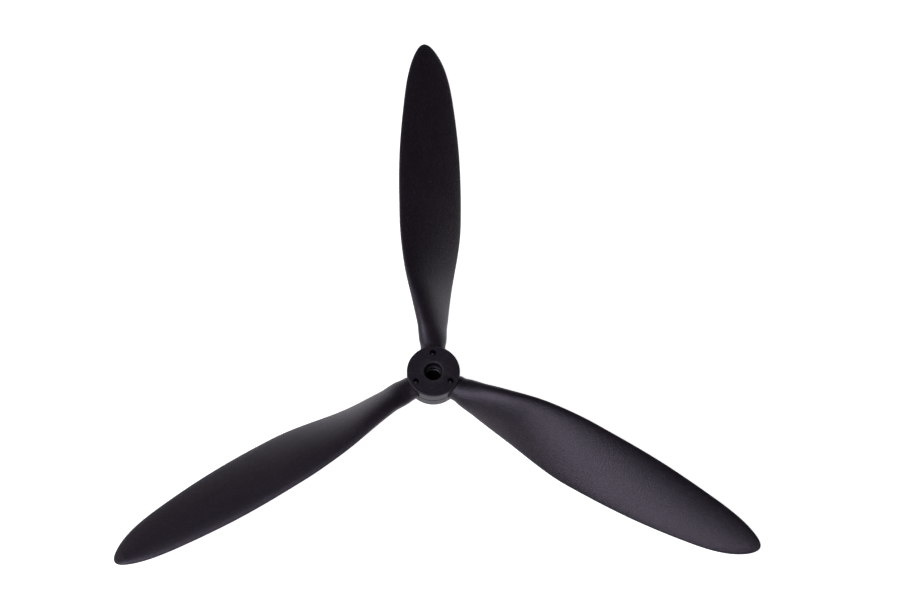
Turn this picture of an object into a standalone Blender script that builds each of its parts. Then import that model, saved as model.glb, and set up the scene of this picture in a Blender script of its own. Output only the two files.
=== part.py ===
"""Three-bladed propeller for a model aircraft, built as its separate pieces.

Three blades with round shanks are clamped between two hub halves. One screw
through each blade's root foot holds the halves together, and each screw ends
in a nut pressed into the rear half. A bush in the middle takes the motor shaft.

Frame: metres, +Z forwards along the shaft axis, origin on that axis at the
hub's rear face, first blade along +Y. Run it with
blender --background --python part.py
"""

from math import atan, cos, exp, pi, radians, sin, sqrt

import bmesh
import bpy
from mathutils import Matrix, Vector

MM = 0.001
FIT_GAP = 0.3 * MM

# Driving dimensions: an 11 x 7 inch propeller on a 6 mm shaft.
TIP_RADIUS = 139.7 * MM
PITCH = 177.8 * MM
BLADE_ANGLES_DEG = (90, 210, 330)

# Hub: two halves that meet halfway up.
HUB_RADIUS = 10.1 * MM
HUB_HEIGHT = 10.0 * MM
HUB_EDGE = 0.45 * MM
HUB_EDGE_MIDDLE = HUB_EDGE * (1 - sqrt(0.5))
HUB_STEPS = 60
PARTING_HEIGHT = HUB_HEIGHT / 2
SHAFT_HOLE_RADIUS = 3.5 * MM
SHAFT_HOLE_EDGE = 0.25 * MM

# Bush: captive between the halves, with a running clearance in its seat.
BUSH_BORE_RADIUS = 3.03 * MM
BUSH_RADIUS = 4.0 * MM
BUSH_RUNNING_GAP = 0.1 * MM
BUSH_BOTTOM = 1.2 * MM
BUSH_TOP = 5.7 * MM
BUSH_EDGE = 0.2 * MM
BUSH_STEPS = 48

# Blade shank, and the flat foot that the screw goes through.
SHANK_INNER_END = 9.35 * MM
SHANK_OUTER_END = 10.6 * MM
SHANK_MID_HEIGHT = 5.0 * MM
SHANK_WIDTH = 9.6 * MM
SHANK_THICKNESS = 6.8 * MM
SHANK_TURN = radians(14)
SHANK_STEPS = 40
FOOT_INNER_END = 5.3 * MM
FOOT_WIDTH = 6.8 * MM
FOOT_THICKNESS = 3.2 * MM

# Screws and nuts, M1.2.
SCREW_CIRCLE_RADIUS = 7.55 * MM
SCREW_RADIUS = 0.6 * MM
SCREW_CHAMFER = 0.15 * MM
SCREW_HEAD_RADIUS = 0.95 * MM
SCREW_HEAD_HEIGHT = 0.6 * MM
SCREW_DOME_HEIGHT = 0.25 * MM
SCREW_TIP_HEIGHT = 0.2 * MM
SCREW_STEPS = 20
DRIVE_WIDTH = 0.22 * MM
DRIVE_LENGTH = 1.1 * MM
DRIVE_DEPTH = 0.45 * MM
HEAD_RECESS_RADIUS = 1.2 * MM
HEAD_RECESS_FLOOR = 8.5 * MM
NUT_ACROSS_FLATS = 2.2 * MM
NUT_BOTTOM = 0.3 * MM
NUT_THICKNESS = 0.9 * MM
NUT_SIDE_GAP = 0.2 * MM
THREAD_GAP = 0.15 * MM

# Blade planform: chord divided by (tip radius x sqrt(1 - share)), at shares of
# the tip radius. The square root rounds the tip.
PLANFORM = (
    (0.07, 0.066),
    (0.115, 0.090),
    (0.18, 0.129),
    (0.285, 0.184),
    (0.36, 0.218),
    (0.43, 0.244),
    (0.50, 0.260),
    (0.65, 0.295),
    (0.80, 0.326),
    (0.93, 0.365),
    (1.00, 0.354),
)
# Greatest thickness of a section, at the same kind of shares.
THICKNESS = (
    (0.07, 6.8 * MM),
    (0.15, 6.4 * MM),
    (0.21, 5.5 * MM),
    (0.29, 4.0 * MM),
    (0.40, 3.2 * MM),
    (0.60, 2.5 * MM),
    (0.80, 1.9 * MM),
    (1.00, 1.3 * MM),
)

# Blade angle: a helix of the stated pitch that levels off inside this radius.
ROOT_PITCH_RADIUS = 33.2 * MM
ROOT_PITCH_POWER = 8
TWIST_FULL = 20.5 * MM

# Blade section: an oval at the first station, an aerofoil from 36 mm outwards.
FIRST_STATION = 13 * MM
AEROFOIL_FULL = 36 * MM
EDGE_THICKNESS = 0.7 * MM
CAMBER_SHARE = 0.04
TIP_ROUNDING = 4 * MM
# Aerofoil half-thickness: factors of sqrt(x), x, x^2, x^3 and x^4, for x from the
# leading edge, scaled so that it is half the section's thickness at its thickest.
AEROFOIL_FACTORS = (1.4845, -0.63, -1.758, 1.4215, -0.518)

# Sweep of the chord's middle towards the leading edge: all along, at the
# shoulder and at the tip.
SWEEP = 0.25 * MM
SWEEP_FULL = 42 * MM
SHOULDER_SWEEP = 0.65 * MM
SHOULDER_RADIUS = 40 * MM
SHOULDER_SPREAD = 16 * MM
TIP_SWEEP = 1.25 * MM
TIP_SWEEP_POWER = 16

# Height of the chord's middle: level near the hub, then dropping to the tip.
ROOT_HEIGHT = 5.1 * MM
TIP_HEIGHT = 0.4 * MM
DROP_FROM = 25 * MM
DROP_POWER = 1.36

# Mesh of the blade.
SECTION_POINTS = 32
BLADE_STATIONS = 26
STATION_CROWDING = 1.6


def clear_scene():
    """Removes whatever the file opened with."""
    for obj in list(bpy.data.objects):
        bpy.data.objects.remove(obj, do_unlink=True)


def new_collection(name):
    """A collection linked to the scene."""
    collection = bpy.data.collections.new(name)
    bpy.context.scene.collection.children.link(collection)
    return collection


def new_material(name, colour, roughness, metallic=0.0):
    """A plain Principled material."""
    material = bpy.data.materials.new(name)
    material.use_nodes = True
    shader = material.node_tree.nodes["Principled BSDF"]
    shader.inputs["Base Color"].default_value = (*colour, 1.0)
    shader.inputs["Roughness"].default_value = roughness
    shader.inputs["Metallic"].default_value = metallic
    material.diffuse_color = (*colour, 1.0)
    return material


def add_object(name, mesh, collection, material=None):
    """An object in one collection, with its material."""
    obj = bpy.data.objects.new(name, mesh)
    collection.objects.link(obj)
    if material:
        obj.data.materials.clear()
        obj.data.materials.append(material)
    return obj


def mesh_from(name, build):
    """A mesh filled by a function that takes an empty bmesh."""
    mesh = bpy.data.meshes.new(name)
    bm = bmesh.new()
    build(bm)
    bmesh.ops.recalc_face_normals(bm, faces=bm.faces)
    bm.to_mesh(mesh)
    bm.free()
    return mesh


def smooth_shade(obj, angle_deg=35):
    """Round faces are shaded smooth, and edges sharper than the angle stay sharp."""
    obj.data.shade_smooth()
    obj.data.set_sharp_from_angle(angle=radians(angle_deg))


def interpolate(table, share):
    """Smooth value between a table's points, with slopes taken from their neighbours."""
    last = len(table) - 1
    if share <= table[0][0]:
        return table[0][1]
    if share >= table[last][0]:
        return table[last][1]
    i = max(k for k in range(last) if table[k][0] <= share)

    def slope(k):
        low, high = table[max(k - 1, 0)], table[min(k + 1, last)]
        return (high[1] - low[1]) / (high[0] - low[0])

    x0, y0 = table[i]
    x1, y1 = table[i + 1]
    width = x1 - x0
    t = (share - x0) / width
    return (
        (2 * t**3 - 3 * t**2 + 1) * y0
        + (t**3 - 2 * t**2 + t) * width * slope(i)
        + (3 * t**2 - 2 * t**3) * y1
        + (t**3 - t**2) * width * slope(i + 1)
    )


def smooth_step(value, low, high):
    """0 below low, 1 above high, and an even S between them."""
    t = min(1.0, max(0.0, (value - low) / (high - low)))
    return t * t * (3 - 2 * t)


def turned(name, profile, steps, collection, material=None, closed=True):
    """A solid turned from a profile of (radius, height) points, listed down its outer side.
    A closed profile joins its last point to its first, for a ring."""
    mesh = bpy.data.meshes.new(name)
    points = [(radius, 0.0, height) for radius, height in profile]
    count = len(points)
    edges = [(i, (i + 1) % count) for i in range(count if closed else count - 1)]
    mesh.from_pydata(points, edges, [])
    obj = add_object(name, mesh, collection, material)
    screw = obj.modifiers.new("turn", "SCREW")
    screw.axis = "Z"
    screw.angle = 2 * pi
    screw.steps = steps
    screw.render_steps = steps
    screw.use_merge_vertices = True
    screw.merge_threshold = 0.00001
    screw.use_smooth_shade = True
    return obj


def solid(name, build, collection):
    """An object whose mesh is filled by a function that takes an empty bmesh."""
    return add_object(name, mesh_from(name, build), collection)


def as_cutter(obj):
    """Marks a helper that only cuts."""
    obj.hide_render = True
    obj.display_type = "WIRE"
    return obj


def cut(obj, cutters):
    """Cuts each cutter away from the object."""
    for cutter in cutters:
        modifier = obj.modifiers.new("cut_" + cutter.name, "BOOLEAN")
        modifier.operation = "DIFFERENCE"
        modifier.solver = "EXACT"
        modifier.object = cutter


def baked_mesh(obj, cutters):
    """The mesh of a pattern object once its cuts are made. The pattern and its cutters go."""
    cut(obj, cutters)
    bpy.context.view_layer.update()
    graph = bpy.context.evaluated_depsgraph_get()
    mesh = bpy.data.meshes.new_from_object(obj.evaluated_get(graph))
    for used in [obj, *cutters]:
        bpy.data.objects.remove(used, do_unlink=True)
    return mesh


def prism(radius, low, high, sides, at=(0, 0)):
    """A builder of a closed cylinder or prism along Z, from low to high, centred at (x, y).
    A hexagon's flats face +X and -X."""
    def build(bm):
        bmesh.ops.create_cone(
            bm,
            cap_ends=True,
            segments=sides,
            radius1=radius,
            radius2=radius,
            depth=high - low,
            matrix=Matrix.Translation((at[0], at[1], (low + high) / 2)),
        )
    return build


def box(size, centre):
    """A builder of a box with that size and centre."""
    def build(bm):
        matrix = Matrix.Translation(centre) @ Matrix.Diagonal((*size, 1))
        bmesh.ops.create_cube(bm, size=1, matrix=matrix)
    return build


def shank_bore(bm):
    """The oval hole in the hub's wall that a shank sits in, along +X."""
    length = HUB_RADIUS
    place = Matrix.Translation((SHANK_INNER_END - FIT_GAP + length / 2, 0, SHANK_MID_HEIGHT))
    tilt = Matrix.Rotation(SHANK_TURN, 4, "X")
    oval = Matrix.Diagonal((1, SHANK_WIDTH / 2 + FIT_GAP, SHANK_THICKNESS / 2 + FIT_GAP, 1))
    bmesh.ops.create_cone(
        bm,
        cap_ends=True,
        segments=SHANK_STEPS,
        radius1=1,
        radius2=1,
        depth=length,
        matrix=place @ tilt @ oval @ Matrix.Rotation(pi / 2, 4, "Y"),
    )


def foot_pocket():
    """The slot in the hub that a foot sits in, along +X."""
    low, high = FOOT_INNER_END - FIT_GAP, SHANK_INNER_END + FIT_GAP
    size = (high - low, FOOT_WIDTH + 2 * FIT_GAP, FOOT_THICKNESS + 2 * FIT_GAP)
    return box(size, ((low + high) / 2, 0, SHANK_MID_HEIGHT))


def screw_hole():
    """The clearance hole for a screw, right through hub and foot."""
    at = (SCREW_CIRCLE_RADIUS, 0)
    return prism(SCREW_RADIUS + FIT_GAP, -HUB_HEIGHT, 2 * HUB_HEIGHT, SCREW_STEPS, at)


def head_recess():
    """The round recess for a screw's head, open at the front face."""
    at = (SCREW_CIRCLE_RADIUS, 0)
    return prism(HEAD_RECESS_RADIUS, HEAD_RECESS_FLOOR, 2 * HUB_HEIGHT, SCREW_STEPS, at)


def hexagon_radius(across_flats):
    """The radius to the corners of a hexagon."""
    return across_flats / 2 / cos(pi / 6)


def nut_pocket():
    """The six-sided pocket for a nut, open at the rear face."""
    radius = hexagon_radius(NUT_ACROSS_FLATS + 2 * NUT_SIDE_GAP)
    top = NUT_BOTTOM + NUT_THICKNESS + NUT_SIDE_GAP
    return prism(radius, -HUB_HEIGHT, top, 6, (SCREW_CIRCLE_RADIUS, 0))


def socket_cutters(half, fastener_seat, collection):
    """What the three blades and their fasteners take out of one half of the hub."""
    builders = {
        "fastener_seat": fastener_seat,
        "screw_hole": screw_hole(),
        "foot_pocket": foot_pocket(),
        "shank_bore": shank_bore,
    }
    cutters = []
    for label, build in builders.items():
        mesh = mesh_from(f"{half}_{label}", build)
        for angle in BLADE_ANGLES_DEG:
            obj = add_object(f"{half}_{label}_{angle}", mesh, collection)
            obj.rotation_euler.z = radians(angle)
            cutters.append(as_cutter(obj))
    return cutters


def hub_front_half(cutters, collection, material):
    """The front half of the hub: a turned ring with the front end of the bush's seat."""
    meeting = PARTING_HEIGHT + FIT_GAP / 2
    seat_radius = BUSH_RADIUS + BUSH_RUNNING_GAP
    seat_end = BUSH_TOP + FIT_GAP
    profile = [
        (SHAFT_HOLE_RADIUS + SHAFT_HOLE_EDGE, HUB_HEIGHT),
        (HUB_RADIUS - HUB_EDGE, HUB_HEIGHT),
        (HUB_RADIUS - HUB_EDGE_MIDDLE, HUB_HEIGHT - HUB_EDGE_MIDDLE),
        (HUB_RADIUS, HUB_HEIGHT - HUB_EDGE),
        (HUB_RADIUS, meeting),
        (seat_radius, meeting),
        (seat_radius, seat_end),
        (SHAFT_HOLE_RADIUS, seat_end),
        (SHAFT_HOLE_RADIUS, HUB_HEIGHT - SHAFT_HOLE_EDGE),
    ]
    obj = turned("hub_front_half", profile, HUB_STEPS, collection, material)
    cut(obj, socket_cutters("front", head_recess(), cutters))


def hub_rear_half(cutters, collection, material):
    """The rear half of the hub, which sits on the motor: it holds most of the bush's seat."""
    meeting = PARTING_HEIGHT - FIT_GAP / 2
    seat_radius = BUSH_RADIUS + BUSH_RUNNING_GAP
    seat_end = BUSH_BOTTOM - FIT_GAP
    profile = [
        (HUB_RADIUS, meeting),
        (HUB_RADIUS, HUB_EDGE),
        (HUB_RADIUS - HUB_EDGE_MIDDLE, HUB_EDGE_MIDDLE),
        (HUB_RADIUS - HUB_EDGE, 0.0),
        (SHAFT_HOLE_RADIUS + SHAFT_HOLE_EDGE, 0.0),
        (SHAFT_HOLE_RADIUS, SHAFT_HOLE_EDGE),
        (SHAFT_HOLE_RADIUS, seat_end),
        (seat_radius, seat_end),
        (seat_radius, meeting),
    ]
    obj = turned("hub_rear_half", profile, HUB_STEPS, collection, material)
    cut(obj, socket_cutters("rear", nut_pocket(), cutters))


def shaft_bush(collection, material):
    """The sleeve that the motor's shaft goes through."""
    profile = [
        (BUSH_BORE_RADIUS + BUSH_EDGE, BUSH_TOP),
        (BUSH_RADIUS - BUSH_EDGE, BUSH_TOP),
        (BUSH_RADIUS, BUSH_TOP - BUSH_EDGE),
        (BUSH_RADIUS, BUSH_BOTTOM + BUSH_EDGE),
        (BUSH_RADIUS - BUSH_EDGE, BUSH_BOTTOM),
        (BUSH_BORE_RADIUS + BUSH_EDGE, BUSH_BOTTOM),
        (BUSH_BORE_RADIUS, BUSH_BOTTOM + BUSH_EDGE),
        (BUSH_BORE_RADIUS, BUSH_TOP - BUSH_EDGE),
    ]
    turned("shaft_bush", profile, BUSH_STEPS, collection, material)


def chord_at(radius):
    """Chord length: the planform times the square root that rounds the tip."""
    share = min(radius / TIP_RADIUS, 1.0)
    return TIP_RADIUS * interpolate(PLANFORM, share) * sqrt(1 - share)


def pitch_angle_at(radius):
    """Blade angle of a constant-pitch helix that levels off near the root, and eases out
    to the angle of the shank."""
    power = ROOT_PITCH_POWER
    helix_radius = (radius**power + ROOT_PITCH_RADIUS**power) ** (1 / power)
    helix = atan(PITCH / (2 * pi * helix_radius))
    return SHANK_TURN + (helix - SHANK_TURN) * smooth_step(radius, SHANK_OUTER_END, TWIST_FULL)


def thickness_at(radius):
    """Greatest thickness of the section, rounded off in the last few millimetres."""
    rounding = sqrt(min(1.0, max(0.0, (TIP_RADIUS - radius) / TIP_ROUNDING)))
    return interpolate(THICKNESS, radius / TIP_RADIUS) * rounding


def chord_middle_at(radius):
    """Where the chord's middle lies, as (sweep towards the leading edge, height)."""
    share = radius / TIP_RADIUS
    shoulder = exp(-(((radius - SHOULDER_RADIUS) / SHOULDER_SPREAD) ** 2))
    lead_in = smooth_step(radius, SHANK_OUTER_END, SWEEP_FULL)
    swept = lead_in * (SWEEP + SHOULDER_SWEEP * shoulder) + TIP_SWEEP * share**TIP_SWEEP_POWER
    run_out = max(0.0, (radius - DROP_FROM) / (TIP_RADIUS - DROP_FROM))
    height = TIP_HEIGHT + (ROOT_HEIGHT - TIP_HEIGHT) * (1 - run_out) ** DROP_POWER
    return swept, height


def ring(radius, outline):
    """Points round one cross-section at that radius, from an outline of (y, z) against turn."""
    turns = [2 * pi * k / SECTION_POINTS for k in range(SECTION_POINTS)]
    return [Vector((radius, *outline(turn))) for turn in turns]


def foot_outline(turn):
    """A rectangle, met at each turn by a ray from its middle."""
    reach = max(abs(cos(turn)), abs(sin(turn)))
    y = FOOT_WIDTH / 2 * cos(turn) / reach
    return y, SHANK_MID_HEIGHT + FOOT_THICKNESS / 2 * sin(turn) / reach


def shank_outline(turn):
    """The tilted oval of the shank where it sits in the hub's wall."""
    along, across = SHANK_WIDTH / 2 * cos(turn), SHANK_THICKNESS / 2 * sin(turn)
    y = along * cos(SHANK_TURN) - across * sin(SHANK_TURN)
    return y, SHANK_MID_HEIGHT + along * sin(SHANK_TURN) + across * cos(SHANK_TURN)


def blade_outline(radius):
    """A blade section: an oval near the shank that becomes a cambered aerofoil. Turn 0 is
    its leading edge, a quarter turn its front side and half a turn its trailing edge."""
    chord, thickness = chord_at(radius), thickness_at(radius)
    angle = pitch_angle_at(radius)
    blend = smooth_step(radius, FIRST_STATION, AEROFOIL_FULL)
    middle_y, middle_z = chord_middle_at(radius)
    edge = min(EDGE_THICKNESS, thickness)

    def outline(turn):
        back = (1 - cos(turn)) / 2
        side = 1 if turn <= pi else -1
        powers = (sqrt(back), back, back**2, back**3, back**4)
        foil = sum(factor * power for factor, power in zip(AEROFOIL_FACTORS, powers))
        slab = sqrt(max(0.0, 1 - (2 * back - 1) ** 8))
        foil_half = (thickness - edge) * foil + edge / 2 * slab
        oval_half = thickness * sqrt(back * (1 - back))
        half = blend * foil_half + (1 - blend) * oval_half
        camber = blend * CAMBER_SHARE * chord * 4 * back * (1 - back)
        along, across = chord * (0.5 - back), camber + side * half
        y = middle_y + along * cos(angle) - across * sin(angle)
        return y, middle_z + along * sin(angle) + across * cos(angle)

    return outline


def loft_blade(bm):
    """Foot, shank and blade along +X, closed by the foot's inner end and by the tip."""
    stations = [
        (FOOT_INNER_END, foot_outline),
        (SHANK_INNER_END, foot_outline),
        (SHANK_INNER_END, shank_outline),
        (SHANK_OUTER_END, shank_outline),
    ]
    for i in range(BLADE_STATIONS):
        outward = 1 - (1 - i / BLADE_STATIONS) ** STATION_CROWDING
        radius = FIRST_STATION + (TIP_RADIUS - FIRST_STATION) * outward
        stations.append((radius, blade_outline(radius)))
    rings = [[bm.verts.new(point) for point in ring(*station)] for station in stations]
    for inner, outer in zip(rings, rings[1:]):
        for k in range(SECTION_POINTS):
            n = (k + 1) % SECTION_POINTS
            bm.faces.new((inner[k], inner[n], outer[n], outer[k]))
    tip = bm.verts.new((TIP_RADIUS, *chord_middle_at(TIP_RADIUS)))
    for k in range(SECTION_POINTS):
        bm.faces.new((rings[-1][k], rings[-1][(k + 1) % SECTION_POINTS], tip))
    bm.faces.new(rings[0])


def blades(cutters, collection, material):
    """Three blades on one mesh: the loft with the screw's hole through its foot."""
    pattern = solid("blade_pattern", loft_blade, collection)
    hole = as_cutter(solid("blade_hole", screw_hole(), cutters))
    mesh = baked_mesh(pattern, [hole])
    for number, angle in enumerate(BLADE_ANGLES_DEG, start=1):
        obj = add_object(f"blade_{number}", mesh, collection, material)
        obj.rotation_euler.z = radians(angle)
        smooth_shade(obj)


def clamp_screws(cutters, collection, material):
    """Three screws on one mesh: a turned body with a cross recess in its domed head."""
    head_bottom = HEAD_RECESS_FLOOR + THREAD_GAP
    head_top = head_bottom + SCREW_HEAD_HEIGHT
    dome_top = head_top + SCREW_DOME_HEIGHT
    dome = [
        (SCREW_HEAD_RADIUS * share, head_top + SCREW_DOME_HEIGHT * (1 - share**2))
        for share in (0.0, 0.5, 0.85, 1.0)
    ]
    profile = [
        *dome,
        (SCREW_HEAD_RADIUS, head_bottom),
        (SCREW_RADIUS, head_bottom),
        (SCREW_RADIUS, SCREW_TIP_HEIGHT + SCREW_CHAMFER),
        (SCREW_RADIUS - SCREW_CHAMFER, SCREW_TIP_HEIGHT),
        (0.0, SCREW_TIP_HEIGHT),
    ]
    pattern = turned("screw_pattern", profile, SCREW_STEPS, collection, closed=False)
    centre = (0, 0, dome_top)
    sizes = {
        "drive_slot_x": (DRIVE_LENGTH, DRIVE_WIDTH, 2 * DRIVE_DEPTH),
        "drive_slot_y": (DRIVE_WIDTH, DRIVE_LENGTH, 2 * DRIVE_DEPTH),
    }
    slots = [as_cutter(solid(name, box(size, centre), cutters)) for name, size in sizes.items()]
    mesh = baked_mesh(pattern, slots)
    place_round_hub("clamp_screw", mesh, collection, material)


def clamp_nuts(cutters, collection, material):
    """Three nuts on one mesh: a hexagon with a hole."""
    radius, top = hexagon_radius(NUT_ACROSS_FLATS), NUT_BOTTOM + NUT_THICKNESS
    pattern = solid("nut_pattern", prism(radius, NUT_BOTTOM, top, 6), collection)
    bore = prism(SCREW_RADIUS + THREAD_GAP, -top, 2 * top, SCREW_STEPS)
    mesh = baked_mesh(pattern, [as_cutter(solid("nut_bore", bore, cutters))])
    place_round_hub("clamp_nut", mesh, collection, material)


def place_round_hub(name, mesh, collection, material):
    """One copy of a fastener on each blade's screw axis."""
    for number, angle in enumerate(BLADE_ANGLES_DEG, start=1):
        obj = add_object(f"{name}_{number}", mesh, collection, material)
        turn = radians(angle)
        obj.location = (SCREW_CIRCLE_RADIUS * cos(turn), SCREW_CIRCLE_RADIUS * sin(turn), 0)
        obj.rotation_euler.z = turn
        smooth_shade(obj)


def main():
    """Builds the propeller in its own collection, with its cutters in another."""
    clear_scene()
    parts = new_collection("propeller")
    cutters = new_collection("cutters")
    cutters.hide_render = True
    hub_nylon = new_material("hub_nylon", (0.016, 0.015, 0.018), 0.5)
    blade_nylon = new_material("blade_nylon", (0.018, 0.017, 0.021), 0.42)
    aluminium = new_material("bush_aluminium", (0.55, 0.55, 0.56), 0.35, 1.0)
    steel = new_material("fastener_steel", (0.32, 0.32, 0.34), 0.4, 1.0)
    hub_rear_half(cutters, parts, hub_nylon)
    hub_front_half(cutters, parts, hub_nylon)
    shaft_bush(parts, aluminium)
    blades(cutters, parts, blade_nylon)
    clamp_screws(cutters, parts, steel)
    clamp_nuts(cutters, parts, steel)


if __name__ == "__main__":
    main()
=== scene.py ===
"""The finished look of a three-bladed propeller, laid out as a Blender add-on and run as a script.

Every piece is a numpy surface in metres. +Z points forwards along the shaft, the origin is on
the shaft's axis at the hub's rear face, and the first blade lies along +Y.
"""

from math import pi, radians

import bpy
import numpy as np
from bpy.props import FloatProperty, FloatVectorProperty, PointerProperty
from mathutils import Matrix, Vector


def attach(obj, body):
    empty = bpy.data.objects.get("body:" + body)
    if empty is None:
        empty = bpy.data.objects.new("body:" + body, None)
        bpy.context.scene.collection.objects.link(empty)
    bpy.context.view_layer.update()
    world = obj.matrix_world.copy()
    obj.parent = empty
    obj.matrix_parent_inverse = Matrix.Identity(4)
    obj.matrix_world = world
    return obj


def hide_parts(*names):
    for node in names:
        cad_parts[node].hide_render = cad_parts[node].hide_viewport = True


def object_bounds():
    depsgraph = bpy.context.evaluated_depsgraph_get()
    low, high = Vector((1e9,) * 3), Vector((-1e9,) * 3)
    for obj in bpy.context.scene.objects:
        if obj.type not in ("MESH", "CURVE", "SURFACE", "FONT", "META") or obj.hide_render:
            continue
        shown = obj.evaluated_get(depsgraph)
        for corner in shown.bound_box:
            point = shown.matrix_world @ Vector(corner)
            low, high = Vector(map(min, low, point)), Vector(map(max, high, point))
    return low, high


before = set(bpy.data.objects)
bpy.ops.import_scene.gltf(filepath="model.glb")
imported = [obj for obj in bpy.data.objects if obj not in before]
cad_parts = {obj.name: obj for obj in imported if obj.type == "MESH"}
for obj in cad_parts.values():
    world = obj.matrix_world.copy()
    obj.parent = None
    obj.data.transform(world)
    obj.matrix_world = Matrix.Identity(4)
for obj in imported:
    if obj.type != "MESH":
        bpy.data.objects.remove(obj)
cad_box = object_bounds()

bl_info = {
    "name": "Three-Bladed Propeller",
    "version": (1, 0, 0),
    "blender": (4, 5, 0),
    "location": "3D View > Sidebar > Propeller",
    "description": "Makes each piece of a model aircraft's propeller, and its stage",
    "category": "Add Mesh",
}

MM = 0.001
BLADE_ANGLES = (90, 210, 330)

# Planform: chord over tip radius and over the square root that rounds the tip, against the
# share of the tip radius.
PLANFORM = (
    (0.07, 0.066),
    (0.115, 0.090),
    (0.18, 0.129),
    (0.285, 0.184),
    (0.36, 0.218),
    (0.43, 0.244),
    (0.50, 0.260),
    (0.65, 0.295),
    (0.80, 0.326),
    (0.93, 0.365),
    (1.00, 0.354),
)
# Greatest thickness of a section in millimetres, against the same share.
THICKNESS = (
    (0.07, 6.8),
    (0.15, 6.4),
    (0.21, 5.5),
    (0.29, 4.0),
    (0.40, 3.2),
    (0.60, 2.5),
    (0.80, 1.9),
    (1.00, 1.3),
)
# Half-thickness of the aerofoil: factors of the square root and the first four powers of the
# way back from the leading edge.
AEROFOIL = (1.4845, -0.63, -1.758, 1.4215, -0.518)


# Sizes and colours -----------------------------------------------------------------------


def length(name, millimetres, description):
    """A length property: given in millimetres, kept in metres."""
    return FloatProperty(
        name=name, description=description, default=millimetres * MM, unit="LENGTH", precision=5
    )


def turn(name, degrees, description):
    """An angle property: given in degrees, kept in radians."""
    return FloatProperty(
        name=name, description=description, default=radians(degrees), subtype="ANGLE"
    )


def number(name, value, description):
    """A plain number property."""
    return FloatProperty(name=name, description=description, default=value, precision=4)


def colour(name, value, description):
    """A colour property."""
    return FloatVectorProperty(
        name=name, description=description, default=value, subtype="COLOR", min=0.0, max=1.0
    )


class HubSizes(bpy.types.PropertyGroup):
    """Sizes of the two hub halves."""

    radius: length("Radius", 10.1, "Outside radius of the hub")
    height: length("Height", 10.0, "Height of the two halves together")
    edge: length("Edge rounding", 0.45, "Radius of the rounding on the outer edges")
    hole: length("Shaft hole", 3.5, "Radius of the hole in each face")
    hole_edge: length("Hole rounding", 0.38, "Radius of the rounding on the shaft hole")
    seat: length("Bush seat", 4.1, "Radius of the seat that the bush lies in")
    seat_front: length("Seat front", 6.0, "Height where the bush's seat ends in front")
    seat_rear: length("Seat rear", 0.9, "Height where the bush's seat ends behind")
    seam: length("Seam", 0.3, "Gap between the two halves")
    recess: length("Screw recess", 1.2, "Radius of the recess for a screw's head")
    recess_floor: length("Recess floor", 8.5, "Height of the floor of a screw's recess")
    pocket_flats: length("Nut pocket", 2.6, "Width across the flats of a nut's pocket")
    pocket_top: length("Pocket depth", 1.4, "Height of the top of a nut's pocket")
    lead_in: length("Lead-in", 0.15, "Width of the small chamfer round recesses and pockets")


class BladeSizes(bpy.types.PropertyGroup):
    """Sizes of a blade with its shank and foot."""

    tip: length("Tip radius", 139.7, "Distance from the shaft's axis to the tip")
    pitch: length("Pitch", 177.8, "Advance in one turn")
    root_pitch: length("Pitch levels off", 33.2, "Radius inside which the helix levels off")
    shank_turn: turn("Shank turn", 14, "Turn of the oval shank about its own axis")
    shank_start: length("Shank start", 9.35, "Radius where the shank begins")
    shank_end: length("Shank end", 10.6, "Radius where the shank leaves the hub")
    shank_width: length("Shank width", 9.6, "Width of the oval shank")
    shank_depth: length("Shank depth", 6.8, "Thickness of the oval shank")
    shank_height: length("Shank height", 5.0, "Height of the shank's axis")
    foot_start: length("Foot start", 5.3, "Radius where the foot begins")
    foot_width: length("Foot width", 6.8, "Width of the flat foot")
    foot_depth: length("Foot thickness", 3.2, "Thickness of the flat foot")
    twist_full: length("Full twist", 20.5, "Radius where the blade reaches the helix")
    foil_start: length("Foil start", 13.0, "Radius where the oval starts to sharpen")
    foil_full: length("Foil full", 36.0, "Radius where the section is all aerofoil")
    edge: length("Edge thickness", 0.7, "Thickness left at the blade's edges")
    tip_rounding: length("Tip rounding", 4.0, "Length over which the tip thins to nothing")
    camber: number("Camber", 0.04, "Height of the camber line, as a share of the chord")
    sweep: length("Sweep", 0.25, "Forward set of the chord's middle")
    shoulder: length("Shoulder sweep", 0.65, "Extra forward set at the shoulder")
    tip_sweep: length("Tip sweep", 1.25, "Forward set added at the tip")
    root_height: length("Root height", 5.1, "Height of the chord's middle at the root")
    tip_height: length("Tip height", 0.4, "Height of the chord's middle at the tip")
    flash: length("Parting line", 0.04, "Height of the fine mould line along the edges")


class BushSizes(bpy.types.PropertyGroup):
    """Sizes of the turned bush."""

    bore: length("Bore", 3.03, "Radius of the bore")
    radius: length("Radius", 4.0, "Outside radius")
    bottom: length("Bottom", 1.2, "Height of the rear end")
    top: length("Top", 5.7, "Height of the front end")
    edge: length("Edge", 0.2, "Width of the chamfers")


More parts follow.
